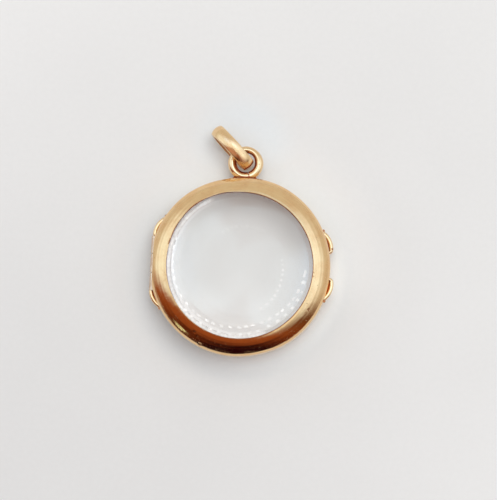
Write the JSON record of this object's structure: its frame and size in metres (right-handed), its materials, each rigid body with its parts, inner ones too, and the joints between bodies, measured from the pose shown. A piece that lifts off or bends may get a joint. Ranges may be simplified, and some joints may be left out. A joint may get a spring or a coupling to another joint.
{
  "type": "reliquary locket",
  "caption": "Round gold see-through locket: two bezels hinged at the side, a domed crystal in each, small thumb ears, and an oval bail that swings on a soldered eyelet.",
  "frame": {"origin": "centre of the round case on the plane that its back land rests on", "axes": "+Z out of the front crystal, +Y from the case towards the eyelet, hinge on the -X side"},
  "size_m": [0.0256, 0.032, 0.0069],
  "materials": {
    "rose_gold": "polished rose gold with fine wear",
    "crystal": "clear polished crystal"
  },
  "bodies": {
    "back": {"back_frame": "rose_gold", "back_crystal": "crystal", "hinge_pin": "rose_gold"},
    "front": {"front_frame": "rose_gold", "front_crystal": "crystal"},
    "bail": {"bail": "rose_gold"}
  },
  "joints": [
    {"name": "lid_hinge", "type": "hinge", "parent": "back", "child": "front", "pos_m": [-0.01207, 0, 0.00345], "axis": [0, -1, 0], "range_deg": [0, 120]},
    {"name": "bail_swing", "type": "hinge", "parent": "back", "child": "bail", "pos_m": [0, 0.01464, 0.00267], "axis": [0, 0, 1], "range_deg": [-150, 60]}
  ]
}
